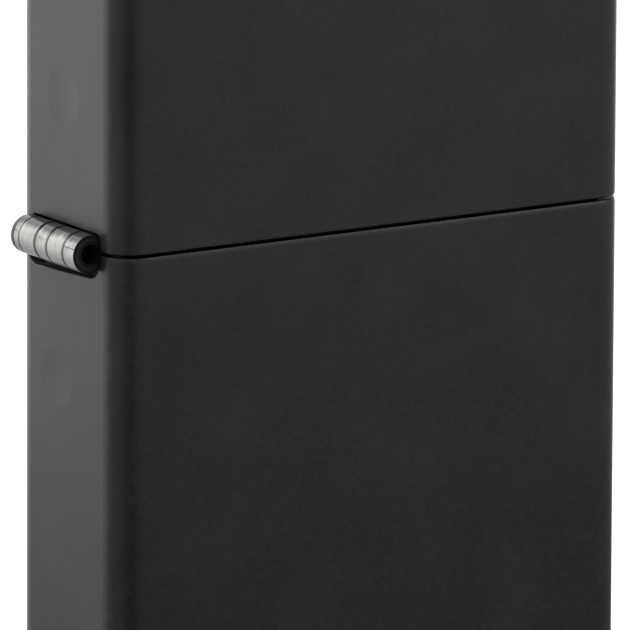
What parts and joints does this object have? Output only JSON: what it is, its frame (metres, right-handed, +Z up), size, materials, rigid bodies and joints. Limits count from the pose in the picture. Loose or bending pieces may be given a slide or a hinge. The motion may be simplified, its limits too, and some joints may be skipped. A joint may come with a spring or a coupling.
{
  "type": "lighter",
  "caption": "Flip-top windproof petrol lighter with a matt black case, a barrel-hinged lid, and a lift-out style insert with wind screen, flint wheel, cam, wick and fuel packing.",
  "frame": {"origin": "middle of the lighter's footprint, hinge barrel included, on the plane its base stands on", "axes": "+Z up, front panel faces -Y, the lid's hinge is on the -X side; lid closed"},
  "size_m": [0.0386, 0.0122, 0.057],
  "materials": {
    "black_coat": "matt black coating on drawn brass",
    "hinge_steel": "satin stainless steel",
    "pin_steel": "darkened steel",
    "insert_steel": "brushed stainless steel",
    "wheel_steel": "hardened tool steel, cut teeth",
    "rivet_steel": "satin steel",
    "cam_steel": "satin steel",
    "spring_steel": "bright spring steel",
    "brass_parts": "turned brass",
    "flint_metal": "ferrocerium",
    "wick_cotton": "braided cotton",
    "copper_wire": "fine copper wire",
    "rayon": "white rayon wadding",
    "felt": "pressed felt"
  },
  "bodies": {
    "case": {"case_bottom": "black_coat", "case_hinge_leaf": "hinge_steel", "hinge_pin": "pin_steel", "insert_shell": "insert_steel", "windscreen": "insert_steel", "wheel_rivet": "rivet_steel", "cam_rivet": "rivet_steel", "cam_spring": "spring_steel", "cam_spring_rivet": "rivet_steel", "flint_tube": "brass_parts", "flint_screw": "brass_parts", "wick": "wick_cotton", "wick_wire": "copper_wire", "cotton_wad_1": "rayon", "cotton_wad_2": "rayon", "cotton_wad_3": "rayon", "cotton_wad_4": "rayon", "cotton_wad_5": "rayon", "felt_pad": "felt"},
    "lid": {"lid_shell": "black_coat", "lid_hinge_leaf": "hinge_steel"},
    "wheel": {"flint_wheel": "wheel_steel"},
    "cam": {"cam_lever": "cam_steel"},
    "flint": {"flint": "flint_metal", "flint_plug": "brass_parts", "flint_spring": "spring_steel"}
  },
  "joints": [
    {"name": "lid_hinge", "type": "hinge", "parent": "case", "child": "lid", "pos_m": [-0.01809, 0, 0.0349], "axis": [0, -1, 0], "range_deg": [0, 125]},
    {"name": "cam_pivot", "type": "hinge", "parent": "case", "child": "cam", "pos_m": [-0.01144, 0, 0.0401], "axis": [0, -1, 0], "range_deg": [0, 75.5]},
    {"name": "wheel_spin", "type": "hinge", "parent": "case", "child": "wheel", "pos_m": [0.00949, 0, 0.0428], "axis": [0, 1, 0], "continuous": true},
    {"name": "flint_feed", "type": "slide", "parent": "case", "child": "flint", "axis": [0, 0, -1], "range_m": [0, 0.0015], "stiffness_N_per_m": 20, "springref_m": -0.02, "deforming": ["flint_spring"]}
  ],
  "couplings": [
    {"joint": "cam_pivot", "follows": "lid_hinge", "ratio": 0.6}
  ]
}
